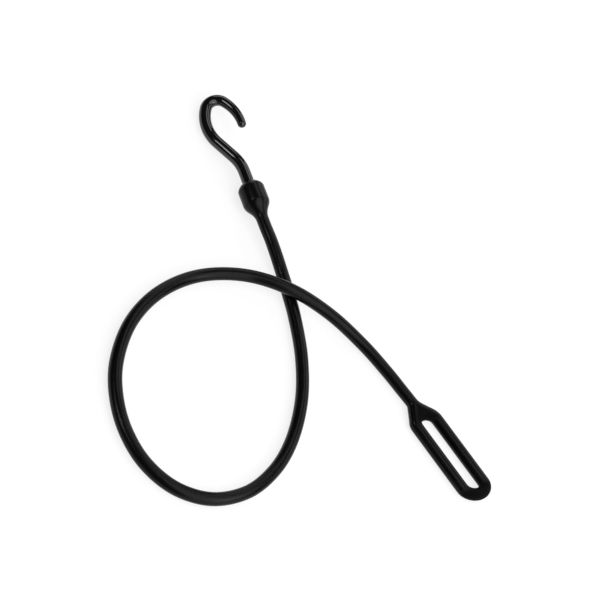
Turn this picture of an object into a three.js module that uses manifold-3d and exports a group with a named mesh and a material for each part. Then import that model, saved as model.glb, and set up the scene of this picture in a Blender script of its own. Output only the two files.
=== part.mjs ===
// A bungee cord lying in one open loop: a moulded elastic cord with a swivelling hook held in
// a socket bulb at one end and a long pull eye at the other.
// Millimetres, +Z up. The cord lies on the plane z = 0 and the pull eye points along +X.

import * as THREE from 'three';
import { mergeVertices } from 'three/addons/utils/BufferGeometryUtils.js';
import Module from 'manifold-3d';

// Gaps between pieces
const FIT_GAP = 0.3; // between pieces that meet face to face
const SWIVEL_CLEARANCE = 0.3; // round the hook's shank and head in the socket
const CROSSING_GAP = 0.5; // between the two strands where the cord passes over itself

// Cord
const CORD_DIAMETER = 6.5;
const HOOK_LEG_LENGTH = 40.2; // from the socket to the lying loop
const EYE_LEG_LENGTH = 62; // from the lying loop to the eye

// Socket bulb, along the shank
const SOCKET_DIAMETER = 14.1;
const SOCKET_TAPER = 10.3; // from the cord up to the full body
const TAPER_ROUNDING = { cord: 0.56, body: 0.3 }; // shares of the taper that are rounded
const SOCKET_BODY = 7.6; // straight side
const SOCKET_DOME = 4.1; // shoulder from the body to the rim
const DOME_FULLNESS = 2; // 1 is a plain cone
const RIM_WIDTH = 0.5; // flat rim round the shank
const RIM_HEIGHT = 0.2;
const SHANK_DEPTH = 9; // from the rim down to the head of the wire

// Hook: a steel wire with a formed head, in a moulded skin that thins towards the tip
const HOOK_DIAMETER = 6.5;
const HOOK_TIP_DIAMETER = 4.6;
const SKIN_THINNING = 1.5; // 1 thins evenly from the bow to the tip
const WIRE_DIAMETER = 3.6;
const WIRE_TO_TIP = 9; // solid skin beyond the end of the wire
const HEAD_DIAMETER = 9.6;
const HEAD_THICKNESS = 3;

// The hook's bends in the order that they follow the shank: radius and turn in degrees, left positive
const SHANK_RUN = 7.45; // straight, outside the socket
const OFFSET_BEND = { radius: 24.7, turn: 25.5 };
const BACK_RUN = 12.3; // straight, between the offset and the bow
const BACK_BEND = { radius: 23.4, turn: -54.8 };
const CROWN_BEND = { radius: 6.3, turn: -111.8 };
const TIP_BEND = { radius: 22.6, turn: -50 };

// Pull eye, along X from the end of the cord
const EYE_ROD_DIAMETER = 6.2;
const EYE_SPACING = 12.7; // between the middles of the two limbs
const EYE_SHOULDER = 13.5; // from the cord to where the limbs run straight
const SHOULDER_ROUNDING = 0.3; // share of the shoulder that is rounded at each end
const EYE_LIMB = 38.1; // straight length of a limb
const EYE_END_DEPTH = 5.1; // depth of the rounded ends
const EYE_SKEW = 0.165; // the soft eye lies leant along X by this share of its width

// The cord's route, from the socket to the eye: x, y and the share of the rise at that point
const SOCKET_RISE_POINTS = [
  [-52.43, -12.24, 1], [-47.3, -13.8, 1], [-40.5, -15.5, 0.92], [-33.1, -17.3, 0.6], [-21.6, -20.4, 0.05],
];
const LOOP_POINTS = [
  [-10.6, -24.6, 0], [0.4, -29.3, 0], [21.1, -40.5, 0], [40.1, -55.4, 0], [55.2, -74.1, 0],
  [62.6, -90.6, 0], [64.6, -108.5, 0], [58.7, -125.8, 0], [45.8, -137.9, 0], [28.6, -143.4, 0],
  [10.8, -142.4, 0], [-6, -136.4, 0], [-20.8, -126.3, 0], [-35.6, -107.5, 0], [-42.7, -85.1, 0],
  [-41, -61.7, 0.1], [-29.2, -41.4, 0.6], [-10.8, -26.2, 1], [9.6, -13.9, 0.6], [31.8, -6, 0.08],
  [49.4, -3.7, 0], [61, -3.1, 0], [69, -2.7, 0],
];

// Facets
const ROD_SIDES = 12;
const TURNED_SIDES = 24;
const LENGTH_SAMPLES = 4000; // for measuring along the cord's line
const CORD_STEP = 7; // along the cord
const HOOK_STEP = 2.5; // along the hook
const TIP_RINGS = 4;
const EYE_END_STEPS = 12;
const SHOULDER_STEPS = 10;
const PROFILE_STEPS = 6;

const CORD_RADIUS = CORD_DIAMETER / 2;
const SOCKET_RADIUS = SOCKET_DIAMETER / 2;
const HOOK_RADIUS = HOOK_DIAMETER / 2;
const HOOK_TIP_RADIUS = HOOK_TIP_DIAMETER / 2;
const WIRE_RADIUS = WIRE_DIAMETER / 2;
const HEAD_RADIUS = HEAD_DIAMETER / 2;
const EYE_ROD_RADIUS = EYE_ROD_DIAMETER / 2;
const SOCKET_LENGTH = SOCKET_TAPER + SOCKET_BODY + SOCKET_DOME + RIM_HEIGHT;
const HEAD_TOP = SOCKET_LENGTH - SHANK_DEPTH;
const HEAD_BOTTOM = HEAD_TOP - HEAD_THICKNESS;

const wasm = await Module();
wasm.setup();

// A closed geometry as a solid that can be joined and cut
function solidOf(geometry) {
  const bare = geometry.clone();
  bare.deleteAttribute('normal');
  bare.deleteAttribute('uv');
  const merged = mergeVertices(bare);
  return new wasm.Manifold(new wasm.Mesh({
    numProp: 3,
    vertProperties: new Float32Array(merged.attributes.position.array),
    triVerts: new Uint32Array(merged.index.array),
  }));
}

function geometryOf(solid) {
  const { vertProperties, triVerts } = solid.getMesh();
  const geometry = new THREE.BufferGeometry();
  geometry.setAttribute('position', new THREE.BufferAttribute(vertProperties, 3));
  geometry.setIndex(new THREE.BufferAttribute(triVerts, 1));
  geometry.computeVertexNormals();
  return geometry;
}

// A round section's flats touch the circle, so that its corners reach a little beyond it
const CORNER_REACH = 1 / Math.cos(Math.PI / ROD_SIDES);

// Corners of a round section, with a flat facing each of the four ways
function sectionCorners(radius) {
  const reach = radius * CORNER_REACH;
  return Array.from({ length: ROD_SIDES }, (_, corner) => {
    const angle = (corner + 0.5) * 2 * Math.PI / ROD_SIDES;
    return new THREE.Vector2(reach * Math.cos(angle), reach * Math.sin(angle));
  });
}

// A skin over rings of points, each ring with as many points: closed round on itself or capped at both ends
function skinOver(rings, closedLoop) {
  const size = rings[0].length;
  const positions = rings.flat().flatMap((point) => point.toArray());
  const triangles = [];
  const bands = closedLoop ? rings.length : rings.length - 1;
  for (let band = 0; band < bands; band += 1) {
    const here = band * size;
    const next = ((band + 1) % rings.length) * size;
    for (let side = 0; side < size; side += 1) {
      const after = (side + 1) % size;
      triangles.push(here + side, here + after, next + after);
      triangles.push(here + side, next + after, next + side);
    }
  }
  if (!closedLoop) {
    const last = (rings.length - 1) * size;
    for (let side = 1; side < size - 1; side += 1) {
      triangles.push(0, side + 1, side);
      triangles.push(last, last + side, last + side + 1);
    }
  }
  const geometry = new THREE.BufferGeometry();
  geometry.setAttribute('position', new THREE.Float32BufferAttribute(positions, 3));
  geometry.setIndex(triangles);
  geometry.computeVertexNormals();
  return geometry;
}

// The cord's line: one smooth curve that never sinks below the surface the cord lies on
class CordLine extends THREE.CatmullRomCurve3 {
  getPoint(t, target) {
    const point = super.getPoint(t, target);
    point.z = Math.max(point.z, CORD_RADIUS);
    return point;
  }
}

// Part of the cord's line, between two lengths measured from the socket
class Stretch extends THREE.Curve {
  constructor(line, from, to) {
    super();
    this.line = line;
    this.from = from;
    this.to = to;
  }

  getPoint(t, target = new THREE.Vector3()) {
    const length = THREE.MathUtils.lerp(this.from, this.to, t);
    return this.line.getPointAt(length / this.line.getLength(), target);
  }
}

function cordLine() {
  const socketRise = SOCKET_RADIUS - CORD_RADIUS;
  const crossingRise = CORD_DIAMETER + CROSSING_GAP;
  const points = [
    ...SOCKET_RISE_POINTS.map(([x, y, share]) => [x, y, CORD_RADIUS + share * socketRise]),
    ...LOOP_POINTS.map(([x, y, share]) => [x, y, CORD_RADIUS + share * crossingRise]),
  ];
  const line = new CordLine(points.map((point) => new THREE.Vector3(...point)));
  line.arcLengthDivisions = LENGTH_SAMPLES;
  return line;
}

function cordStretch(line, from, to) {
  return new THREE.ExtrudeGeometry(new THREE.Shape(sectionCorners(CORD_RADIUS)), {
    steps: Math.ceil((to - from) / CORD_STEP),
    extrudePath: new Stretch(line, from, to),
  });
}

// Place and heading on the hook's line, a distance beyond the bottom of the wire's head.
// The line lies in the XY plane and starts along +Y.
function hookPlaceAt(distance) {
  const runs = [
    { length: SOCKET_LENGTH - HEAD_BOTTOM + SHANK_RUN, turn: 0 },
    bend(OFFSET_BEND),
    { length: BACK_RUN, turn: 0 },
    bend(BACK_BEND),
    bend(CROWN_BEND),
    bend(TIP_BEND),
  ];
  const place = new THREE.Vector3(0, HEAD_BOTTOM, 0);
  let heading = Math.PI / 2;
  let left = distance;
  for (const run of runs) {
    const step = Math.min(left, run.length);
    const turn = run.turn * step / run.length;
    const chord = turn === 0 ? step : 2 * (run.length / run.turn) * Math.sin(turn / 2);
    place.x += chord * Math.cos(heading + turn / 2);
    place.y += chord * Math.sin(heading + turn / 2);
    heading += turn;
    left -= step;
  }
  return { place, heading };
}

function bend({ radius, turn }) {
  const angle = THREE.MathUtils.degToRad(turn);
  return { length: radius * Math.abs(angle), turn: angle };
}

const HOOK_LENGTH = SOCKET_LENGTH - HEAD_BOTTOM + SHANK_RUN + BACK_RUN
  + [OFFSET_BEND, BACK_BEND, CROWN_BEND, TIP_BEND].reduce((sum, arc) => sum + bend(arc).length, 0);
const BOW_LENGTH = [BACK_BEND, CROWN_BEND, TIP_BEND].reduce((sum, arc) => sum + bend(arc).length, 0);
const BOW_START = HOOK_LENGTH - BOW_LENGTH;
const WIRE_END = HOOK_LENGTH - WIRE_TO_TIP;

// The moulded skin keeps its full size to the start of the bow and then thins more and more
function hookRadiusAt(distance) {
  const share = Math.max(0, (distance - BOW_START) / (HOOK_LENGTH - BOW_START));
  return THREE.MathUtils.lerp(HOOK_RADIUS, HOOK_TIP_RADIUS, share ** SKIN_THINNING);
}

// A round bar along the hook's line, one ring at each station
function hookBar(stations) {
  const rings = stations.map(({ distance, radius }) => {
    const { place, heading } = hookPlaceAt(distance);
    const side = new THREE.Vector3(-Math.sin(heading), Math.cos(heading), 0);
    return sectionCorners(radius).map((corner) => {
      const point = place.clone().addScaledVector(side, corner.x);
      point.z += corner.y;
      return point;
    });
  });
  return skinOver(rings, false);
}

function evenStations(from, to, radiusAt) {
  const count = Math.ceil((to - from) / HOOK_STEP);
  return Array.from({ length: count + 1 }, (_, index) => {
    const distance = THREE.MathUtils.lerp(from, to, index / count);
    return { distance, radius: radiusAt(distance) };
  });
}

function hookWire() {
  const head = new THREE.CylinderGeometry(HEAD_RADIUS, HEAD_RADIUS, HEAD_THICKNESS, TURNED_SIDES);
  head.translate(0, HEAD_BOTTOM + HEAD_THICKNESS / 2, 0);
  const wire = hookBar(evenStations(HEAD_THICKNESS / 2, WIRE_END, () => WIRE_RADIUS));
  return geometryOf(solidOf(head).add(solidOf(wire)));
}

function hookSkin() {
  const start = HEAD_THICKNESS + FIT_GAP;
  const roundStart = HOOK_LENGTH - HOOK_TIP_RADIUS;
  const tip = Array.from({ length: TIP_RINGS }, (_, ring) => {
    const angle = (ring + 1) / (TIP_RINGS + 0.5) * Math.PI / 2;
    return {
      distance: roundStart + HOOK_TIP_RADIUS * Math.sin(angle),
      radius: hookRadiusAt(roundStart) * Math.cos(angle),
    };
  });
  const outside = hookBar([...evenStations(start, roundStart, hookRadiusAt), ...tip]);
  const boreStart = start - FIT_GAP;
  const bore = hookBar(evenStations(boreStart, WIRE_END + FIT_GAP, () => WIRE_RADIUS + FIT_GAP));
  return geometryOf(solidOf(outside).subtract(solidOf(bore)));
}

// The free hook swivels down until its bow touches the surface that the cord lies on
function hookLean() {
  const stations = evenStations(BOW_START, HOOK_LENGTH - HOOK_TIP_RADIUS, hookRadiusAt);
  const sines = stations
    .map(({ distance, radius }) => [-hookPlaceAt(distance).place.x, radius])
    .filter(([reach]) => reach > HOOK_RADIUS)
    .map(([reach, radius]) => (SOCKET_RADIUS - radius * CORNER_REACH) / reach);
  return Math.asin(Math.min(...sines));
}

// A rise from 0 to 1 that is straight in the middle and rounded over a share of its length at each end
function roundedRise(t, startRounding, endRounding) {
  const slope = 2 / (2 - startRounding - endRounding);
  if (t < startRounding) return slope * t * t / (2 * startRounding);
  if (t > 1 - endRounding) return 1 - slope * (1 - t) ** 2 / (2 * endRounding);
  return slope * (t - startRounding / 2);
}

function socketBulb() {
  const bore = HOOK_RADIUS * CORNER_REACH + SWIVEL_CLEARANCE;
  const cavity = HEAD_RADIUS + SWIVEL_CLEARANCE;
  const rim = bore + RIM_WIDTH;
  const profile = [new THREE.Vector2(0, 0)];
  for (let step = 0; step <= PROFILE_STEPS; step += 1) {
    const rise = roundedRise(step / PROFILE_STEPS, TAPER_ROUNDING.cord, TAPER_ROUNDING.body);
    const radius = THREE.MathUtils.lerp(CORD_RADIUS, SOCKET_RADIUS, rise);
    profile.push(new THREE.Vector2(radius, SOCKET_TAPER * step / PROFILE_STEPS));
  }
  for (let step = 0; step <= PROFILE_STEPS; step += 1) {
    const share = step / PROFILE_STEPS;
    const radius = THREE.MathUtils.lerp(SOCKET_RADIUS, rim, share ** DOME_FULLNESS);
    profile.push(new THREE.Vector2(radius, SOCKET_TAPER + SOCKET_BODY + SOCKET_DOME * share));
  }
  profile.push(
    new THREE.Vector2(rim, SOCKET_LENGTH),
    new THREE.Vector2(bore, SOCKET_LENGTH),
    new THREE.Vector2(bore, HEAD_TOP + SWIVEL_CLEARANCE),
    new THREE.Vector2(cavity, HEAD_TOP + SWIVEL_CLEARANCE),
    new THREE.Vector2(cavity, HEAD_BOTTOM - SWIVEL_CLEARANCE),
    new THREE.Vector2(0, HEAD_BOTTOM - SWIVEL_CLEARANCE),
  );
  return new THREE.LatheGeometry(profile, TURNED_SIDES);
}

function leanAlong(geometry) {
  const position = geometry.attributes.position;
  for (let index = 0; index < position.count; index += 1) {
    position.setX(index, position.getX(index) + EYE_SKEW * position.getY(index));
  }
  return geometry;
}

// The closed rod of the eye, round the slot
function eyeRod(nearMiddle, farMiddle) {
  const rings = [];
  const half = EYE_SPACING / 2;
  for (const [middle, first] of [[farMiddle, -Math.PI / 2], [nearMiddle, Math.PI / 2]]) {
    for (let step = 0; step <= EYE_END_STEPS; step += 1) {
      const angle = first + Math.PI * step / EYE_END_STEPS;
      const place = new THREE.Vector3(middle + EYE_END_DEPTH * Math.cos(angle), half * Math.sin(angle), 0);
      const inward = new THREE.Vector3(-half * Math.cos(angle), -EYE_END_DEPTH * Math.sin(angle), 0);
      inward.normalize();
      rings.push(sectionCorners(EYE_ROD_RADIUS).map((corner) => {
        const point = place.clone().addScaledVector(inward, corner.x);
        point.z += corner.y;
        return point;
      }));
    }
  }
  return skinOver(rings, true);
}

// The shoulder: the round cord spreads into a web between the two limbs
function eyeShoulder(nearMiddle) {
  const rings = [];
  for (let step = 0; step <= SHOULDER_STEPS; step += 1) {
    const share = step / SHOULDER_STEPS;
    const spread = EYE_SPACING / 2 * roundedRise(share, SHOULDER_ROUNDING, SHOULDER_ROUNDING);
    const size = THREE.MathUtils.lerp(CORD_RADIUS, EYE_ROD_RADIUS, share);
    rings.push(sectionCorners(size).map((corner) => {
      const y = corner.x + Math.sign(corner.x) * spread;
      return new THREE.Vector3(nearMiddle * share + EYE_SKEW * share * y, y, corner.y);
    }));
  }
  return skinOver(rings, false);
}

function pullEye() {
  const nearMiddle = EYE_SHOULDER;
  const farMiddle = nearMiddle + EYE_LIMB;
  const half = EYE_SPACING / 2;
  const outline = new THREE.Shape();
  outline.absellipse(farMiddle, 0, EYE_END_DEPTH, half, -Math.PI / 2, Math.PI / 2, false);
  outline.absellipse(nearMiddle, 0, EYE_END_DEPTH, half, Math.PI / 2, 3 * Math.PI / 2, false);
  const through = 4 * EYE_ROD_RADIUS;
  const slot = new THREE.ExtrudeGeometry(outline, {
    depth: through,
    bevelEnabled: false,
    curveSegments: EYE_END_STEPS,
  });
  slot.translate(0, 0, -through / 2);
  const web = solidOf(eyeShoulder(nearMiddle)).subtract(solidOf(leanAlong(slot)));
  return geometryOf(web.add(solidOf(leanAlong(eyeRod(nearMiddle, farMiddle)))));
}

function piece(name, geometry, material) {
  const mesh = new THREE.Mesh(geometry, material);
  mesh.name = name;
  return mesh;
}

const softBlack = () => new THREE.MeshStandardMaterial({ color: 0x161616, roughness: 0.6, metalness: 0 });
const glossBlack = () => new THREE.MeshStandardMaterial({ color: 0x0c0c0d, roughness: 0.2, metalness: 0 });
const steel = () => new THREE.MeshStandardMaterial({ color: 0x9a9da1, roughness: 0.35, metalness: 1 });

const line = cordLine();
const cordLength = line.getLength();
const loopStart = HOOK_LEG_LENGTH;
const loopEnd = cordLength - EYE_LEG_LENGTH;

const hook = new THREE.Group();
hook.rotation.y = -hookLean();
hook.add(
  piece('hook_wire', hookWire(), steel()),
  piece('hook_skin', hookSkin(), glossBlack()),
);

const socketEnd = new THREE.Group();
const alongShank = line.getTangent(0).negate();
socketEnd.position.copy(line.getPoint(0));
socketEnd.rotation.z = Math.atan2(-alongShank.x, alongShank.y);
socketEnd.add(piece('hook_socket', socketBulb(), softBlack()), hook);

const eye = piece('pull_eye', pullEye(), softBlack());
eye.position.copy(line.getPoint(1));

const bungee = new THREE.Group();
bungee.add(
  socketEnd,
  piece('cord_hook_leg', cordStretch(line, FIT_GAP, loopStart - FIT_GAP / 2), softBlack()),
  piece('cord_loop', cordStretch(line, loopStart + FIT_GAP / 2, loopEnd - FIT_GAP / 2), softBlack()),
  piece('cord_eye_leg', cordStretch(line, loopEnd + FIT_GAP / 2, cordLength - FIT_GAP), softBlack()),
  eye,
);

export default bungee;
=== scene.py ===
"""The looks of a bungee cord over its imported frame.

A satin black elastic moulding lies in one open loop: a round cord that swells into a socket bulb at
one end and spreads into a long pull eye at the other. A glossy coated hook swivels in the bulb.
Metres, +Z up, in the frame of the solids.
"""

import math

import bmesh
import bpy
from mathutils import Matrix, Vector


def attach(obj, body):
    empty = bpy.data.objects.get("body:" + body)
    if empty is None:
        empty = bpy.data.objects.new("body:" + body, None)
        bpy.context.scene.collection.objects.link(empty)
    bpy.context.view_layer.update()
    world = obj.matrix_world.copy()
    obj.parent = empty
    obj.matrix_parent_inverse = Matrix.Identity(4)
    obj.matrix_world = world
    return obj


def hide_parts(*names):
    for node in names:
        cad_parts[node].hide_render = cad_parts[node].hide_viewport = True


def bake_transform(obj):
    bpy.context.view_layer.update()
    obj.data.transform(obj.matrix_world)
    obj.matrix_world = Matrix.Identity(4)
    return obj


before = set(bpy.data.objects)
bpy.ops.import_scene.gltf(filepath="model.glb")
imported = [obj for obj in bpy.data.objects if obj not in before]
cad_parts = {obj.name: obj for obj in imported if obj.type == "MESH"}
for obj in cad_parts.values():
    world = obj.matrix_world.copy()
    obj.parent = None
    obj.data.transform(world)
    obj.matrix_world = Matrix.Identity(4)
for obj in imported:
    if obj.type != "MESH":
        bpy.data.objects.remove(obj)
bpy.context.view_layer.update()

MM = 0.001

# Cord: its section, and how its length is shared between the two legs and the loop
CORD_RADIUS = 3.25 * MM
SWELL = 0.08 * MM  # how far the round mouldings stand proud of the flat sides of the solids
HOOK_LEG_LENGTH = 40.2 * MM
EYE_LEG_LENGTH = 62 * MM
CROSSING_GAP = 0.5 * MM
CORD_SIDES = 64
CORD_STEPS = 20  # rings between two points of the route
LENGTH_SLACK = 0.001 * MM  # lets a station on the border of two lengths of cord belong to both
STREAK_WIDTH = 0.9 * MM  # flow marks of the moulding along the cord
STREAK_LENGTH = 16 * MM
MOULD_LINE_HEIGHT = 0.004  # as a share of the cord's radius
MOULD_LINE_WIDTH = 0.08  # the same, from the middle of the line to its edge

# The cord's route from the socket to the eye: x, y, the share of the rise at that point, and how thick
# the moulded cord is there, as a share of its plain size
SOCKET_RISE_POINTS = (
    (-0.05243, -0.01224, 1.0, 1.0),
    (-0.0473, -0.0138, 1.0, 1.0),
    (-0.0405, -0.0155, 0.92, 1.0),
    (-0.0331, -0.0173, 0.6, 1.01),
    (-0.0216, -0.0204, 0.05, 1.02),
)
LOOP_POINTS = (
    (-0.0106, -0.0246, 0.0, 1.03),
    (0.0004, -0.0293, 0.0, 1.02),
    (0.0211, -0.0405, 0.0, 1.0),
    (0.0401, -0.0554, 0.0, 1.0),
    (0.0552, -0.0741, 0.0, 0.99),
    (0.0626, -0.0906, 0.0, 0.98),
    (0.0646, -0.1085, 0.0, 0.97),
    (0.0587, -0.1258, 0.0, 0.99),
    (0.0458, -0.1379, 0.0, 1.01),
    (0.0286, -0.1434, 0.0, 1.02),
    (0.0108, -0.1424, 0.0, 1.03),
    (-0.0060, -0.1364, 0.0, 1.04),
    (-0.0208, -0.1263, 0.0, 1.05),
    (-0.0356, -0.1075, 0.0, 1.03),
    (-0.0427, -0.0851, 0.0, 1.02),
    (-0.0410, -0.0617, 0.1, 1.01),
    (-0.0292, -0.0414, 0.6, 1.01),
    (-0.0108, -0.0262, 1.0, 1.01),
    (0.0096, -0.0139, 0.6, 0.98),
    (0.0318, -0.0060, 0.08, 0.97),
    (0.0494, -0.0037, 0.0, 0.96),
    (0.0610, -0.0031, 0.0, 0.95),
    (0.0690, -0.0027, 0.0, 0.94),
)

# Socket bulb, along the shank
SOCKET_RADIUS = 7.05 * MM
SOCKET_TAPER = 10.3 * MM
TAPER_ROUNDING = (0.56, 0.3)  # shares of the taper that are rounded
SOCKET_BODY = 7.6 * MM
SOCKET_DOME = 4.1 * MM
DOME_FULLNESS = 2
RIM_WIDTH = 0.7 * MM
RIM_HEIGHT = 0.2 * MM
RIM_EASING = 0.15 * MM  # how far both edges of the rim lean in
SHANK_DEPTH = 9 * MM
BORE_PLAY = 0.12 * MM
CAVITY_RADIUS = 5.1 * MM
SOCKET_SIDES = 96
TAPER_RINGS = 24
DOME_RINGS = 20

# Hook: bends in the order that they follow the shank, radius and turn in degrees, left positive
HOOK_RADIUS = 3.25 * MM
HOOK_TIP_RADIUS = 2.3 * MM
HEAD_THICKNESS = 3 * MM
HEAD_PLAY = 0.3 * MM  # room between the head of the wire and the socket, and between head and skin
SHANK_RUN = 7.45 * MM
OFFSET_BEND = (23.6 * MM, 25.9)
BACK_RUN = 12.6 * MM
BACK_BEND = (23.1 * MM, -56)
CROWN_BEND = (6.2 * MM, -112.9)
TIP_BEND = (24.5 * MM, -45.3)
HOOK_STEP = 0.5 * MM
HOOK_SIDES = 64
TIP_RINGS = 12
TIP_FLAT = 0.2  # the small flat that closes the tip, as a share of a ring's step

# Pull eye, along X from the end of the cord
EYE_ROD_RADIUS = 3.1 * MM
EYE_HALF_SPACING = 6.35 * MM
NECK_OVERLAP = 1.2 * MM  # how far the eye's neck starts inside the end of the cord
EYE_SHOULDER = 13.5 * MM
SHOULDER_ROUNDING = (0.42, 0.3)  # shares of the shoulder that are rounded
NEAR_SHOULDER_ROUNDING = (0.25, 0.3)  # the same on the side that lies nearer the loop
EYE_LIMB = 38.2 * MM
EYE_NEAR_DEPTH = 5.1 * MM
EYE_FAR_DEPTH = 5.4 * MM
EYE_SKEW = 0.165  # how far the soft eye lies leant along X, as a share of its width
EYE_FAR_SKEW = 0.25  # the lean at its far end
EYE_SIDES = 48
SLOT_END_STEPS = 24
LIMB_STEPS = 40
SHOULDER_STEPS = 30
EYE_VOXEL = 0.24 * MM  # grain of the mesh that makes rods and web one moulding
EASING_ROUNDS = 8  # smoothing of the edges where rods and web meet
EASING_FACTOR = 0.5

# Over what length the matt and the painted shade of the eye's web and far end fade out
WEB_EDGE_FADE = 2 * MM
WEB_SLOT_FADE = 3 * MM
WEB_NECK_FADE = 4 * MM
FAR_END_FADE = 3 * MM

# Mesh attributes that the finishes read
MATT_AND_SHADE = "pressed"  # 1 where a face is matt and carries painted shade that dims its sheen, 0 where it is plain satin
ALONG = "along"  # length along the path of a sweep
AROUND = "around"  # place on the round section of a sweep, for a radius of 1

SOCKET_LENGTH = SOCKET_TAPER + SOCKET_BODY + SOCKET_DOME + RIM_HEIGHT
HEAD_TOP = SOCKET_LENGTH - SHANK_DEPTH
HEAD_BOTTOM = HEAD_TOP - HEAD_THICKNESS


def lerp(low, high, share):
    return low + (high - low) * share


def rounded_rise(share, start_rounding, end_rounding):
    """Rise from 0 to 1, straight in the middle and rounded over a share of its length at each end."""
    slope = 2 / (2 - start_rounding - end_rounding)
    if share < start_rounding:
        return slope * share * share / (2 * start_rounding)
    if share > 1 - end_rounding:
        return 1 - slope * (1 - share) ** 2 / (2 * end_rounding)
    return slope * (share - start_rounding / 2)


# Finishes

ELASTIC_SHADES = ((0.0022, 0.0022, 0.0024), (0.0042, 0.0042, 0.0044))  # its darker and lighter colour
HOOK_SKIN_SHADES = ((0.0038, 0.0038, 0.004), (0.0062, 0.0062, 0.0065))
STEEL_SHADES = ((0.42, 0.43, 0.44), (0.6, 0.61, 0.62))
NOISE_LOW = 0.3  # most values of a noise lie between these two
NOISE_HIGH = 0.7
MIX_FIRST = 6  # colour sockets of a Mix node, which share their names with its other sockets
MIX_SECOND = 7
MIX_RESULT = 2


class Finish:
    """A material under construction: its nodes, and short ways to add and join them."""

    def __init__(self, name):
        self.material = bpy.data.materials.new(name)
        self.material.use_nodes = True
        self.nodes = self.material.node_tree.nodes
        self.links = self.material.node_tree.links
        self.shader = self.nodes["Principled BSDF"]
        self.place = self.nodes.new("ShaderNodeTexCoord").outputs["Object"]

    def set(self, **values):
        for name, value in values.items():
            self.shader.inputs[name.replace("_", " ")].default_value = value

    def attribute(self, name):
        node = self.nodes.new("ShaderNodeAttribute")
        node.attribute_name = name
        return node.outputs

    def noise(self, size, detail=2.0, roughness=0.5):
        return self.noise_over(self.place, [1 / size] * 3, detail, roughness)

    def drawn_out_noise(self, radius, width, length, detail, roughness):
        """Marks of a width and length that run along a sweep of about the given radius."""
        section = self.nodes.new("ShaderNodeSeparateXYZ")
        self.links.new(self.attribute(AROUND)["Vector"], section.inputs["Vector"])
        place = self.nodes.new("ShaderNodeCombineXYZ")
        self.links.new(section.outputs["X"], place.inputs["X"])
        self.links.new(section.outputs["Y"], place.inputs["Y"])
        self.links.new(self.attribute(ALONG)["Fac"], place.inputs["Z"])
        scale = (radius / width, radius / width, 1 / length)
        return self.noise_over(place.outputs["Vector"], scale, detail, roughness)

    def noise_over(self, place, scale, detail, roughness):
        """Noise over a vector, with a scale for each of its three parts."""
        mapping = self.nodes.new("ShaderNodeMapping")
        mapping.inputs["Scale"].default_value = scale
        self.links.new(place, mapping.inputs["Vector"])
        texture = self.nodes.new("ShaderNodeTexNoise")
        texture.inputs["Scale"].default_value = 1
        texture.inputs["Detail"].default_value = detail
        texture.inputs["Roughness"].default_value = roughness
        self.links.new(mapping.outputs["Vector"], texture.inputs["Vector"])
        return texture.outputs["Fac"]

    def ranged(self, value, low, high, from_low=NOISE_LOW, from_high=NOISE_HIGH):
        node = self.nodes.new("ShaderNodeMapRange")
        node.inputs["From Min"].default_value = from_low
        node.inputs["From Max"].default_value = from_high
        node.inputs["To Min"].default_value = low
        node.inputs["To Max"].default_value = high
        self.links.new(value, node.inputs["Value"])
        return node.outputs["Result"]

    def tint(self, value, dark, light):
        node = self.nodes.new("ShaderNodeMix")
        node.data_type = "RGBA"
        node.inputs[MIX_FIRST].default_value = (*dark, 1)
        node.inputs[MIX_SECOND].default_value = (*light, 1)
        self.links.new(value, node.inputs["Factor"])
        return node.outputs[MIX_RESULT]

    def bump(self, height, depth, strength, under=None):
        node = self.nodes.new("ShaderNodeBump")
        node.inputs["Strength"].default_value = strength
        node.inputs["Distance"].default_value = depth
        self.links.new(height, node.inputs["Height"])
        if under is not None:
            self.links.new(under, node.inputs["Normal"])
        return node.outputs["Normal"]

    def combine(self, operation, first, second):
        node = self.nodes.new("ShaderNodeMath")
        node.operation = operation
        node.use_clamp = True
        self.links.new(first, node.inputs[0])
        self.links.new(second, node.inputs[1])
        return node.outputs["Value"]

    def feed(self, output, socket):
        self.links.new(output, self.shader.inputs[socket])


def satin_elastic():
    """Black moulded rubber: satin elsewhere, matt with painted shade that dims its sheen on the eye's
    web and far end.
    """
    finish = Finish("satin_elastic")
    finish.set(Specular_IOR_Level=0.17)
    bloom = finish.noise(14 * MM, detail=3)
    flow = finish.noise(4 * MM, detail=3, roughness=0.55)
    streak = finish.drawn_out_noise(CORD_RADIUS, STREAK_WIDTH, STREAK_LENGTH, detail=3, roughness=0.6)
    grain = finish.noise(0.35 * MM)
    finish.feed(finish.tint(finish.ranged(bloom, low=0, high=1), *ELASTIC_SHADES), "Base Color")
    pressed = finish.attribute(MATT_AND_SHADE)["Fac"]
    plain = finish.ranged(flow, low=0.18, high=0.24)
    satin = finish.combine("ADD", plain, finish.ranged(streak, low=0, high=0.08))
    matt = finish.ranged(pressed, low=0, high=0.45, from_low=0, from_high=1)
    finish.feed(finish.combine("ADD", satin, matt), "Roughness")
    # Painted shade: the sheen of the eye's web and far end is dimmed to a tenth
    painted_shade_dim = finish.ranged(pressed, low=1, high=0.1, from_low=0, from_high=1)
    gleam_and_painted_shade = finish.combine("MULTIPLY", finish.ranged(streak, low=0.66, high=1), painted_shade_dim)
    finish.feed(gleam_and_painted_shade, "Specular Tint")
    soft = finish.bump(flow, depth=0.06 * MM, strength=0.5)
    drawn = finish.bump(streak, depth=0.1 * MM, strength=0.5, under=soft)
    finish.feed(finish.bump(grain, depth=0.02 * MM, strength=0.25, under=drawn), "Normal")
    return finish.material


def gloss_hook_skin():
    """Glossy black plastic with the slight sink marks and specks of a moulding."""
    finish = Finish("gloss_hook_skin")
    finish.set(Specular_IOR_Level=0.56)
    sink = finish.noise(6 * MM)
    speck = finish.noise(0.8 * MM, detail=3)
    finish.feed(finish.tint(finish.ranged(sink, low=0, high=1), *HOOK_SKIN_SHADES), "Base Color")
    finish.feed(finish.ranged(speck, low=0.05, high=0.1), "Roughness")
    finish.feed(finish.bump(sink, depth=0.04 * MM, strength=0.2), "Normal")
    return finish.material


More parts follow.
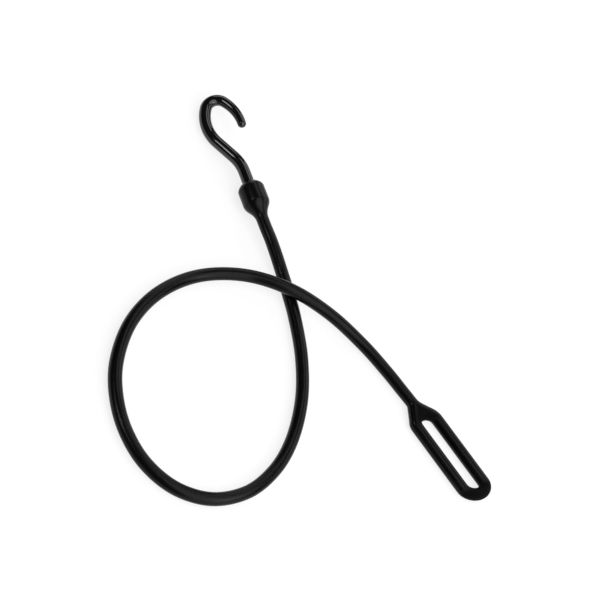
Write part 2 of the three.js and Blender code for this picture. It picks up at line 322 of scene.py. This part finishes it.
def drawn_steel():
    finish = Finish("drawn_steel")
    finish.set(Metallic=1.0)
    scratch = finish.noise(0.6 * MM, detail=4, roughness=0.7)
    finish.feed(finish.tint(finish.ranged(scratch, low=0, high=1), *STEEL_SHADES), "Base Color")
    finish.feed(finish.ranged(scratch, low=0.22, high=0.4), "Roughness")
    finish.feed(finish.bump(scratch, depth=0.02 * MM, strength=0.3), "Normal")
    return finish.material


ELASTIC = satin_elastic()
HOOK_SKIN = gloss_hook_skin()
STEEL = drawn_steel()


# Round sweeps

WHOLE_PATH = (0.0, 1.0)  # start and end in metres, with the end beyond every path that is swept whole
CREASE = math.radians(40)  # an edge that bends more than this stays sharp
TRIM_START = 4  # length sockets of a Trim Curve node, which share their names with its other sockets
TRIM_END = 5


def sweep_tree():
    """Geometry Nodes: a round bar along part of a path, as thick as the path says, with a mould line."""
    tree = bpy.data.node_groups.new("round_sweep", "GeometryNodeTree")
    nodes = tree.nodes
    link = tree.links.new
    kinds = {
        "Path": "Geometry",
        "From": "Float",
        "To": "Float",
        "Sides": "Int",
        "Line Height": "Float",
        "Line Width": "Float",
        "Finish": "Material",
    }
    sockets = {
        name: tree.interface.new_socket(name, in_out="INPUT", socket_type="NodeSocket" + kind)
        for name, kind in kinds.items()
    }
    tree.interface.new_socket("Bar", in_out="OUTPUT", socket_type="NodeSocketGeometry")
    given = nodes.new("NodeGroupInput").outputs

    part = nodes.new("GeometryNodeTrimCurve")
    part.mode = "LENGTH"
    link(given["Path"], part.inputs["Curve"])
    link(given["From"], part.inputs[TRIM_START])
    link(given["To"], part.inputs[TRIM_END])

    circle = nodes.new("GeometryNodeCurvePrimitiveCircle")
    circle.inputs["Radius"].default_value = 1
    link(given["Sides"], circle.inputs["Resolution"])
    spot = nodes.new("GeometryNodeInputPosition").outputs["Position"]
    parts = nodes.new("ShaderNodeSeparateXYZ")
    link(spot, parts.inputs["Vector"])

    def math_node(operation, first, second):
        node = nodes.new("ShaderNodeMath")
        node.operation = operation
        for socket, value in zip(node.inputs, (first, second)):
            if isinstance(value, (int, float)):
                socket.default_value = value
            else:
                link(value, socket)
        return node.outputs["Value"]

    def marked(geometry, name, kind, value):
        """The geometry with a value kept on its points, for the finishes."""
        node = nodes.new("GeometryNodeStoreNamedAttribute")
        node.data_type = kind
        node.inputs["Name"].default_value = name
        link(geometry, node.inputs["Geometry"])
        link(value, node.inputs["Value"])
        return node.outputs["Geometry"]

    off_line = math_node("DIVIDE", parts.outputs["Y"], given["Line Width"])
    fall = math_node("SUBTRACT", 1, math_node("MULTIPLY", off_line, off_line))
    lift = math_node("MULTIPLY", math_node("MAXIMUM", fall, 0), given["Line Height"])
    grow = math_node("ADD", lift, 1)
    scaled = nodes.new("ShaderNodeVectorMath")
    scaled.operation = "SCALE"
    link(spot, scaled.inputs["Vector"])
    link(grow, scaled.inputs["Scale"])
    section = nodes.new("GeometryNodeSetPosition")
    link(circle.outputs["Curve"], section.inputs["Geometry"])
    link(scaled.outputs["Vector"], section.inputs["Position"])

    length = math_node("ADD", nodes.new("GeometryNodeSplineParameter").outputs["Length"], given["From"])
    skin = nodes.new("GeometryNodeCurveToMesh")
    skin.inputs["Fill Caps"].default_value = True
    link(marked(part.outputs["Curve"], ALONG, "FLOAT", length), skin.inputs["Curve"])
    link(marked(section.outputs["Geometry"], AROUND, "FLOAT_VECTOR", spot), skin.inputs["Profile Curve"])
    link(nodes.new("GeometryNodeInputRadius").outputs["Radius"], skin.inputs["Scale"])
    real = nodes.new("GeometryNodeRealizeInstances")
    link(skin.outputs["Mesh"], real.inputs["Geometry"])
    finish = nodes.new("GeometryNodeSetMaterial")
    link(real.outputs["Geometry"], finish.inputs["Geometry"])
    link(given["Finish"], finish.inputs["Material"])
    link(finish.outputs["Geometry"], nodes.new("NodeGroupOutput").inputs["Bar"])
    return tree, {name: socket.identifier for name, socket in sockets.items()}


SWEEP, SWEEP_INPUTS = sweep_tree()


def shown(name, mesh):
    piece = bpy.data.objects.new(name, mesh)
    bpy.context.scene.collection.objects.link(piece)
    return piece


def smooth_shaded(mesh):
    mesh.shade_smooth()
    mesh.set_sharp_from_angle(angle=CREASE)


def swept(name, path, start, end, sides, finish, line_height=0.0):
    """The bar along a path curve between two lengths, as a plain mesh."""
    carrier = bpy.data.objects.new(name + "_path", path)
    bpy.context.scene.collection.objects.link(carrier)
    modifier = carrier.modifiers.new("bar", "NODES")
    modifier.node_group = SWEEP
    values = {
        "From": start,
        "To": end,
        "Sides": sides,
        "Line Height": line_height,
        "Line Width": MOULD_LINE_WIDTH,
        "Finish": finish,
    }
    for socket, value in values.items():
        modifier[SWEEP_INPUTS[socket]] = value
    depsgraph = bpy.context.evaluated_depsgraph_get()
    mesh = bpy.data.meshes.new_from_object(carrier.evaluated_get(depsgraph))
    bpy.data.objects.remove(carrier)
    mesh.name = name
    smooth_shaded(mesh)
    return shown(name, mesh)


# Cord


def route_points():
    socket_rise = SOCKET_RADIUS - CORD_RADIUS
    crossing_rise = 2 * CORD_RADIUS + CROSSING_GAP
    rising = [Vector((x, y, CORD_RADIUS + share * socket_rise)) for x, y, share, _ in SOCKET_RISE_POINTS]
    lying = [Vector((x, y, CORD_RADIUS + share * crossing_rise)) for x, y, share, _ in LOOP_POINTS]
    return rising + lying


def route_handles(points):
    """Bezier handles, before and after each point, of the smooth curve that the solids follow."""
    padded = [2 * points[0] - points[1], *points, 2 * points[-1] - points[-2]]
    before = [None] * len(points)
    after = [None] * len(points)
    for index in range(len(points) - 1):
        a, b, c, d = padded[index:index + 4]
        ab, bc, cd = (math.sqrt((q - p).length) for p, q in ((a, b), (b, c), (c, d)))
        leave = ((b - a) / ab - (c - a) / (ab + bc) + (c - b) / bc) * bc
        arrive = ((c - b) / bc - (d - b) / (bc + cd) + (d - c) / cd) * bc
        after[index] = b + leave / 3
        before[index + 1] = c - arrive / 3
    before[0] = 2 * points[0] - after[0]
    after[-1] = 2 * points[-1] - before[-1]
    for handle in before + after:
        handle.z = max(handle.z, CORD_RADIUS)
    return before, after


def cord_route():
    points = route_points()
    before, after = route_handles(points)
    route = bpy.data.curves.new("cord_route", "CURVE")
    route.dimensions = "3D"
    route.twist_mode = "Z_UP"
    spline = route.splines.new("BEZIER")
    spline.resolution_u = CORD_STEPS
    spline.bezier_points.add(len(points) - 1)
    thickness = [share for *_, share in SOCKET_RISE_POINTS + LOOP_POINTS]
    for knot, point, left, right, share in zip(spline.bezier_points, points, before, after, thickness):
        knot.handle_left_type = "FREE"
        knot.handle_right_type = "FREE"
        knot.co = point
        knot.handle_left = left
        knot.handle_right = right
        knot.radius = CORD_RADIUS * share + SWELL
    return route


def route_stations(route):
    """Places along the route, each with its length from the socket."""
    stations = []
    knots = route.splines[0].bezier_points
    length = 0.0
    last = knots[0].co.copy()
    for near, far in zip(knots, knots[1:]):
        for step in range(CORD_STEPS):
            t = step / CORD_STEPS
            s = 1 - t
            place = (
                s ** 3 * near.co
                + 3 * s * s * t * near.handle_right
                + 3 * s * t * t * far.handle_left
                + t ** 3 * far.co
            )
            length += (place - last).length
            stations.append((length, place))
            last = place
    end = knots[-1].co.copy()
    stations.append((length + (end - last).length, end))
    return stations


def settle(mesh):
    """The soft underside is pressed flat where it rests on the surface."""
    for corner in mesh.vertices:
        corner.co.z = max(corner.co.z, 0)


def cord_pieces():
    route = cord_route()
    stations = route_stations(route)
    total, _ = stations[-1]
    loop_end = total - EYE_LEG_LENGTH
    spans = {
        "elastic_hook_leg": ("cord_hook_leg", 0.0, HOOK_LEG_LENGTH),
        "elastic_loop": ("cord_loop", HOOK_LEG_LENGTH, loop_end),
        "elastic_eye_leg": ("cord_eye_leg", loop_end, total),
    }
    pieces = {}
    for name, (node, start, end) in spans.items():
        piece = swept(name, route, start, end, CORD_SIDES, ELASTIC, MOULD_LINE_HEIGHT)
        settle(piece.data)
        first, last = start - LENGTH_SLACK, end + LENGTH_SLACK
        path = [place for length, place in stations if first <= length <= last]
        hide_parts(node)
        pieces[name] = (piece, path, end - start)
    leg, leg_path, _ = pieces["elastic_hook_leg"]
    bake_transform(leg)
    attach(pieces["elastic_loop"][0], "cord")
    leg, leg_path, _ = pieces["elastic_eye_leg"]
    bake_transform(leg)


# Socket bulb


def socket_frame():
    """The end of the cord as a frame: Y on along the shank, Z up."""
    points = route_points()
    start = points[0]
    _, handles = route_handles(points)
    along = start - handles[0]
    along.z = 0
    along.normalize()
    across = Vector((along.y, -along.x, 0))
    turn = Matrix((across, along, Vector((0, 0, 1)))).transposed()
    return Matrix.Translation(start) @ turn.to_4x4()


def socket_profile():
    """Half section of the bulb, from the cord's end round the outside and back into the bore."""
    cord = CORD_RADIUS + SWELL
    body = SOCKET_RADIUS + SWELL
    bore = HOOK_RADIUS + BORE_PLAY
    rim = bore + RIM_WIDTH
    body_top = SOCKET_TAPER + SOCKET_BODY
    cavity_top = HEAD_TOP + HEAD_PLAY
    cavity_bottom = HEAD_BOTTOM - HEAD_PLAY
    points = [(0, 0)]
    for ring in range(TAPER_RINGS + 1):
        share = ring / TAPER_RINGS
        points.append((lerp(cord, body, rounded_rise(share, *TAPER_ROUNDING)), SOCKET_TAPER * share))
    points.append((body, SOCKET_TAPER + SOCKET_BODY / 2))
    for ring in range(DOME_RINGS + 1):
        share = ring / DOME_RINGS
        points.append((lerp(body, rim, share ** DOME_FULLNESS), body_top + SOCKET_DOME * share))
    points += [
        (rim - RIM_EASING, SOCKET_LENGTH),
        (bore + RIM_EASING, SOCKET_LENGTH),
        (bore, SOCKET_LENGTH - RIM_HEIGHT),
        (bore, cavity_top),
        (CAVITY_RADIUS, cavity_top),
        (CAVITY_RADIUS, cavity_bottom),
        (0, cavity_bottom),
    ]
    return points


def turned(name, profile, sides, finish, place):
    """A closed solid of revolution about its own Y, put in place."""
    form = bmesh.new()
    angles = [2 * math.pi * side / sides for side in range(sides)]
    rings = []
    for radius, height in profile:
        places = [(radius * math.cos(angle), height, radius * math.sin(angle)) for angle in angles]
        if radius == 0:
            places = [(0, height, 0)]
        rings.append([form.verts.new(spot) for spot in places])
    for low, high in zip(rings, rings[1:]):
        for side in range(sides):
            after = side + 1
            round_face = ((low, side), (high, side), (high, after), (low, after))
            corners = [ring[index % len(ring)] for ring, index in round_face]
            form.faces.new(list(dict.fromkeys(corners)))
    bmesh.ops.recalc_face_normals(form, faces=form.faces)
    form.transform(place)
    mesh = bpy.data.meshes.new(name)
    form.to_mesh(mesh)
    form.free()
    mesh.materials.append(finish)
    smooth_shaded(mesh)
    return shown(name, mesh)


def socket_piece():
    bulb = turned("socket_bulb", socket_profile(), SOCKET_SIDES, ELASTIC, socket_frame())
    settle(bulb.data)
    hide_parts("hook_socket")
    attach(bulb, "socket")


# Hook


def straight(length):
    return length, 0.0


def bend(radius, degrees):
    turn = math.radians(degrees)
    return radius * abs(turn), turn


# The hook's line as runs, each with its length and turn
RUNS_TO_CROWN = [
    straight(SOCKET_LENGTH - HEAD_BOTTOM + SHANK_RUN),
    bend(*OFFSET_BEND),
    straight(BACK_RUN),
    bend(*BACK_BEND),
]
HOOK_RUNS = [*RUNS_TO_CROWN, bend(*CROWN_BEND), bend(*TIP_BEND)]
CROWN_START = sum(length for length, _ in RUNS_TO_CROWN)
HOOK_LENGTH = sum(length for length, _ in HOOK_RUNS)


def hook_place(distance):
    """Place on the hook's line, in its own flat plane, a distance beyond the foot of the wire's head."""
    x, y, heading = 0.0, HEAD_BOTTOM, math.pi / 2
    left = distance
    for length, turn in HOOK_RUNS:
        step = min(left, length)
        part = turn * step / length
        chord = step if part == 0 else 2 * length / turn * math.sin(part / 2)
        x += chord * math.cos(heading + part / 2)
        y += chord * math.sin(heading + part / 2)
        heading += part
        left -= step
    return Vector((x, y, 0))


def hook_radius(distance):
    """The skin is even up to the crown, and thins from there to the tip."""
    share = max(0.0, (distance - CROWN_START) / (HOOK_LENGTH - CROWN_START))
    return lerp(HOOK_RADIUS, HOOK_TIP_RADIUS, share)


def hook_lean(stations):
    """How far the free hook swivels down before its bow touches the surface."""
    reaches = [(-hook_place(distance).x, radius) for distance, radius in stations]
    slopes = [(SOCKET_RADIUS - radius) / reach for reach, radius in reaches if reach > HOOK_RADIUS]
    return math.asin(min(slopes))


def hook_stations():
    """Distances along the hook's line, each with the skin's radius there, out to its rounded tip."""
    start = HEAD_THICKNESS + HEAD_PLAY
    round_start = HOOK_LENGTH - HOOK_TIP_RADIUS
    count = math.ceil((round_start - start) / HOOK_STEP)
    stations = []
    for index in range(count + 1):
        distance = lerp(start, round_start, index / count)
        stations.append((distance, hook_radius(distance)))
    full = hook_radius(round_start)
    for ring in range(1, TIP_RINGS + 1):
        angle = ring / (TIP_RINGS + TIP_FLAT) * math.pi / 2
        stations.append((round_start + HOOK_TIP_RADIUS * math.sin(angle), full * math.cos(angle)))
    return stations


def poly_path(name, places, radii, closed=False):
    path = bpy.data.curves.new(name, "CURVE")
    path.dimensions = "3D"
    spline = path.splines.new("POLY")
    spline.points.add(len(places) - 1)
    for knot, place, radius in zip(spline.points, places, radii):
        knot.co = (*place, 1)
        knot.radius = radius
    spline.use_cyclic_u = closed
    return path


def hook_piece():
    stations = hook_stations()
    place = socket_frame() @ Matrix.Rotation(-hook_lean(stations), 4, "Y")
    places = [place @ hook_place(distance) for distance, _ in stations]
    path = poly_path("hook_line", places, [radius for _, radius in stations])
    skin = swept("hook_skin_coat", path, *WHOLE_PATH, HOOK_SIDES, HOOK_SKIN)
    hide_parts("hook_skin")
    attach(skin, "hook")


# Pull eye


def eye_place(x, y, skew):
    """A place on the eye's middle plane, from the end of the cord: the soft eye lies leant along X."""
    end = route_points()[-1]
    return end + Vector((x + skew * y, y, 0))


def slot_end(middle, depth, skew, first):
    """The line round one end of the slot, from a first angle on through half a turn."""
    places = []
    for step in range(SLOT_END_STEPS + 1):
        angle = math.radians(first + 180 * step / SLOT_END_STEPS)
        x = middle + depth * math.cos(angle)
        y = EYE_HALF_SPACING * math.sin(angle)
        places.append(eye_place(x, y, skew))
    return places


def near_slot_end():
    return slot_end(EYE_SHOULDER, EYE_NEAR_DEPTH, EYE_SKEW, 90)


def limb_loop():
    """The closed line round the slot: its far end, one limb, its near end and the other limb."""
    far_end = slot_end(EYE_SHOULDER + EYE_LIMB, EYE_FAR_DEPTH, EYE_FAR_SKEW, -90)
    near_end = near_slot_end()
    places = []
    for end, next_end in ((far_end, near_end), (near_end, far_end)):
        places += end
        places += [end[-1].lerp(next_end[0], step / LIMB_STEPS) for step in range(1, LIMB_STEPS)]
    return places


def shoulder_line(side):
    """The line of one edge of the shoulder, from the cord out to a limb."""
    rounding, skew = (SHOULDER_ROUNDING, EYE_SKEW) if side > 0 else (NEAR_SHOULDER_ROUNDING, 0)
    places = []
    for step in range(SHOULDER_STEPS + 1):
        share = step / SHOULDER_STEPS
        spread = EYE_HALF_SPACING * rounded_rise(share, *rounding)
        places.append(eye_place(EYE_SHOULDER * share, side * spread, skew))
    return places


def neck_start():
    """The place on the cord's line, just inside its end, where the eye's neck starts."""
    points = route_points()
    before, _ = route_handles(points)
    return points[-1] + (before[-1] - points[-1]).normalized() * NECK_OVERLAP


def web_plate(thickness):
    """The flat web between the shoulder's edges and the near end of the slot."""
    outline = shoulder_line(-1) + near_slot_end()[::-1][1:-1] + shoulder_line(1)[::-1][:-1]
    form = bmesh.new()
    rise = Vector((0, 0, thickness / 2))
    low = [form.verts.new(place - rise) for place in outline]
    high = [form.verts.new(place + rise) for place in outline]
    for index in range(len(outline)):
        after = (index + 1) % len(outline)
        form.faces.new((low[index], low[after], high[after], high[index]))
    for rim in (set(low), set(high)):
        rim_edges = [edge for edge in form.edges if set(edge.verts) <= rim]
        bmesh.ops.triangle_fill(form, use_beauty=True, edges=rim_edges)
    bmesh.ops.recalc_face_normals(form, faces=form.faces)
    mesh = bpy.data.meshes.new("eye_web")
    form.to_mesh(mesh)
    form.free()
    return shown("eye_web", mesh)


def joined(name, pieces):
    """Several closed bodies made one mesh."""
    form = bmesh.new()
    for piece in pieces:
        form.from_mesh(piece.data)
        bpy.data.objects.remove(piece)
    mesh = bpy.data.meshes.new(name)
    form.to_mesh(mesh)
    form.free()
    return shown(name, mesh)


def finished(piece):
    """The piece with its modifiers turned into plain mesh."""
    depsgraph = bpy.context.evaluated_depsgraph_get()
    mesh = bpy.data.meshes.new_from_object(piece.evaluated_get(depsgraph))
    name = piece.name
    bpy.data.objects.remove(piece)
    mesh.name = name
    return shown(name, mesh)


def mark_matt_and_painted_shade(mesh):
    """Mark the web and the far end of the eye as matt, with painted shade, easing off at their borders.
    """
    pressed = mesh.attributes.new(MATT_AND_SHADE, "FLOAT", "POINT")
    start = route_points()[-1]
    for corner, mark in zip(mesh.vertices, pressed.data):
        y = corner.co.y - start.y
        x = corner.co.x - start.x - EYE_SKEW * y
        share = min(max(x / EYE_SHOULDER, 0), 1)
        spread = EYE_HALF_SPACING * rounded_rise(share, *SHOULDER_ROUNDING)
        inside_edges = (spread - abs(y)) / WEB_EDGE_FADE + 0.5
        before_slot = (EYE_SHOULDER - x) / WEB_SLOT_FADE + 0.5
        past_neck = x / WEB_NECK_FADE
        past_limbs = (x - EYE_SHOULDER - EYE_LIMB) / FAR_END_FADE
        mark.value = min(max(min(inside_edges, before_slot, past_neck), past_limbs, 0), 1)


def eye_piece():
    loop = limb_loop()
    rod = EYE_ROD_RADIUS + SWELL
    *_, cord_end_share = LOOP_POINTS[-1]
    neck = CORD_RADIUS * cord_end_share + SWELL
    path = poly_path("eye_line", loop, [rod] * len(loop), closed=True)
    rods = [swept("eye_rod", path, *WHOLE_PATH, EYE_SIDES, ELASTIC)]
    for side in (-1, 1):
        line = shoulder_line(side)
        radii = [lerp(neck, rod, step / SHOULDER_STEPS) for step in range(SHOULDER_STEPS + 1)]
        path = poly_path("eye_line", [neck_start(), *line], [neck, *radii])
        rods.append(swept("eye_shoulder", path, *WHOLE_PATH, EYE_SIDES, ELASTIC))
    eye = joined("pull_eye_moulding", [*rods, web_plate(2 * rod)])
    remesh = eye.modifiers.new("one_moulding", "REMESH")
    remesh.mode = "VOXEL"
    remesh.voxel_size = EYE_VOXEL
    remesh.use_smooth_shade = True
    smooth = eye.modifiers.new("eased_edges", "SMOOTH")
    smooth.factor = EASING_FACTOR
    smooth.iterations = EASING_ROUNDS
    eye = finished(eye)
    eye.data.materials.clear()
    eye.data.materials.append(ELASTIC)
    eye.data.shade_smooth()
    settle(eye.data)
    # Matt faces with painted shade on the eye's web and far end
    mark_matt_and_painted_shade(eye.data)
    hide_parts("pull_eye")
    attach(eye, "eye")


# Studio

AIM = Vector((-0.0056, -0.0207, 0.00325))
VIEW_DISTANCE = 0.72507
VIEW_ELEVATION = math.radians(54)
VIEW_AZIMUTH = math.radians(-21.6)
VIEW_ROLL = math.radians(36)
LENS_LENGTH = 85  # in millimetres, as Blender takes it
SENSOR_WIDTH = 36
NEAREST_VIEW = 0.01
SOFTBOX_DISTANCE = 0.9
WORLD_LIGHT = 0.022
FLOOR_RADIUS = 40
FLOOR_SIDES = 96
FLOOR_BOUNCE = 0.375  # how pale the floor is for the light that it sends on
FLOOR_SEEN = 0.25  # how pale it is where it is seen, so that the shadow still shows
FLOOR_GLOW = 0.79  # what lifts it to white where it is seen
WHITE = (1, 1, 1, 1)


def camera_turn():
    """The turn from the picture's own right, up and towards the viewer to the frame of the solids."""
    forward = Vector((
        math.sin(VIEW_AZIMUTH) * math.cos(VIEW_ELEVATION),
        math.cos(VIEW_AZIMUTH) * math.cos(VIEW_ELEVATION),
        -math.sin(VIEW_ELEVATION),
    ))
    level = forward.cross(Vector((0, 0, 1))).normalized()
    upright = level.cross(forward)
    right = level * math.cos(VIEW_ROLL) + upright * math.sin(VIEW_ROLL)
    up = upright * math.cos(VIEW_ROLL) - level * math.sin(VIEW_ROLL)
    return Matrix((right, up, -forward)).transposed()


def studio_camera():
    turn = camera_turn()
    lens = bpy.data.cameras.new("studio_camera")
    lens.lens = LENS_LENGTH
    lens.sensor_width = SENSOR_WIDTH
    lens.sensor_fit = "HORIZONTAL"
    lens.clip_start = NEAREST_VIEW
    camera = bpy.data.objects.new("studio_camera", lens)
    camera.matrix_world = Matrix.Translation(AIM + turn @ Vector((0, 0, VIEW_DISTANCE))) @ turn.to_4x4()
    bpy.context.scene.collection.objects.link(camera)
    bpy.context.scene.camera = camera


def softbox(name, direction, upright, width, height, radiance, distance=SOFTBOX_DISTANCE):
    """A soft rectangular light that faces the object, with its height along the upright direction."""
    towards = direction.normalized()
    side = upright.cross(towards).normalized()
    up = towards.cross(side)
    light = bpy.data.lights.new(name, "AREA")
    light.shape = "RECTANGLE"
    light.size = width
    light.size_y = height
    light.energy = radiance * math.pi * width * height
    box = bpy.data.objects.new(name, light)
    turn = Matrix((side, up, towards)).transposed()
    box.matrix_world = Matrix.Translation(AIM + towards * distance) @ turn.to_4x4()
    box.visible_camera = False
    bpy.context.scene.collection.objects.link(box)


def studio_lights():
    """Softboxes placed by the picture's directions, two more by the room's, and a faint even world."""
    turn = camera_turn()
    picture_up = turn @ Vector((0, 1, 0))
    along_hook_back = turn @ Vector((0.67, 0.74, 0))
    room_up = Vector((0, 0, 1))
    low = turn @ Vector((0.506, -0.277, 0.777))
    softbox("low_softbox", low, picture_up, width=1.0, height=2.3, radiance=2.0, distance=0.968)
    high = turn @ Vector((0.671, 1.218, 0.526))
    softbox("high_softbox", high, picture_up, width=0.45, height=0.7, radiance=2.0, distance=1.487)
    right = turn @ Vector((0.64, -0.3, 0.7))
    softbox("small_softbox", right, picture_up, width=0.35, height=0.45, radiance=2.05)
    left = turn @ Vector((-0.43, 0.47, 0.77))
    softbox("strip_softbox", left, along_hook_back, width=0.16, height=0.3, radiance=6.2)
    back = Vector((0.2, 0.86, 0.45))
    softbox("back_softbox", back, room_up, width=1.3, height=0.5, radiance=1.7)
    side = Vector((-0.76, 0.48, 0.44))
    softbox("side_softbox", side, room_up, width=0.45, height=0.35, radiance=2.15)
    world = bpy.data.worlds.new("studio_world")
    world.use_nodes = True
    background = world.node_tree.nodes["Background"]
    background.inputs["Color"].default_value = WHITE
    background.inputs["Strength"].default_value = WORLD_LIGHT
    bpy.context.scene.world = world


def floor_finish():
    """White where it is seen or mirrored, with the object's shadow, and plain grey for bounced light."""
    material = bpy.data.materials.new("pale_floor")
    material.use_nodes = True
    nodes = material.node_tree.nodes
    link = material.node_tree.links.new
    nodes.clear()

    def matt(shade):
        node = nodes.new("ShaderNodeBsdfDiffuse")
        node.inputs["Color"].default_value = (shade, shade, shade, 1)
        return node.outputs["BSDF"]

    path = nodes.new("ShaderNodeLightPath")
    seen = path.outputs["Is Camera Ray"]
    for ray in ("Is Glossy Ray", "Is Transmission Ray"):
        either = nodes.new("ShaderNodeMath")
        either.operation = "MAXIMUM"
        link(seen, either.inputs[0])
        link(path.outputs[ray], either.inputs[1])
        seen = either.outputs["Value"]
    glow = nodes.new("ShaderNodeEmission")
    glow.inputs["Color"].default_value = WHITE
    glow.inputs["Strength"].default_value = FLOOR_GLOW
    lifted = nodes.new("ShaderNodeAddShader")
    link(matt(FLOOR_SEEN), lifted.inputs[0])
    link(glow.outputs["Emission"], lifted.inputs[1])
    choice = nodes.new("ShaderNodeMixShader")
    link(seen, choice.inputs["Fac"])
    link(matt(FLOOR_BOUNCE), choice.inputs[1])
    link(lifted.outputs["Shader"], choice.inputs[2])
    link(choice.outputs["Shader"], nodes.new("ShaderNodeOutputMaterial").inputs["Surface"])
    return material


def studio_floor():
    form = bmesh.new()
    bmesh.ops.create_circle(form, cap_ends=True, radius=FLOOR_RADIUS, segments=FLOOR_SIDES)
    mesh = bpy.data.meshes.new("studio_floor")
    form.to_mesh(mesh)
    form.free()
    mesh.materials.append(floor_finish())
    shown("studio_floor", mesh)


# The scene

studio_camera()
cord_pieces()
socket_piece()
hook_piece()
eye_piece()
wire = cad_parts["hook_wire"]
wire.data.materials.clear()
wire.data.materials.append(STEEL)
studio_lights()
studio_floor()
bpy.context.scene.view_settings.view_transform = "Standard"
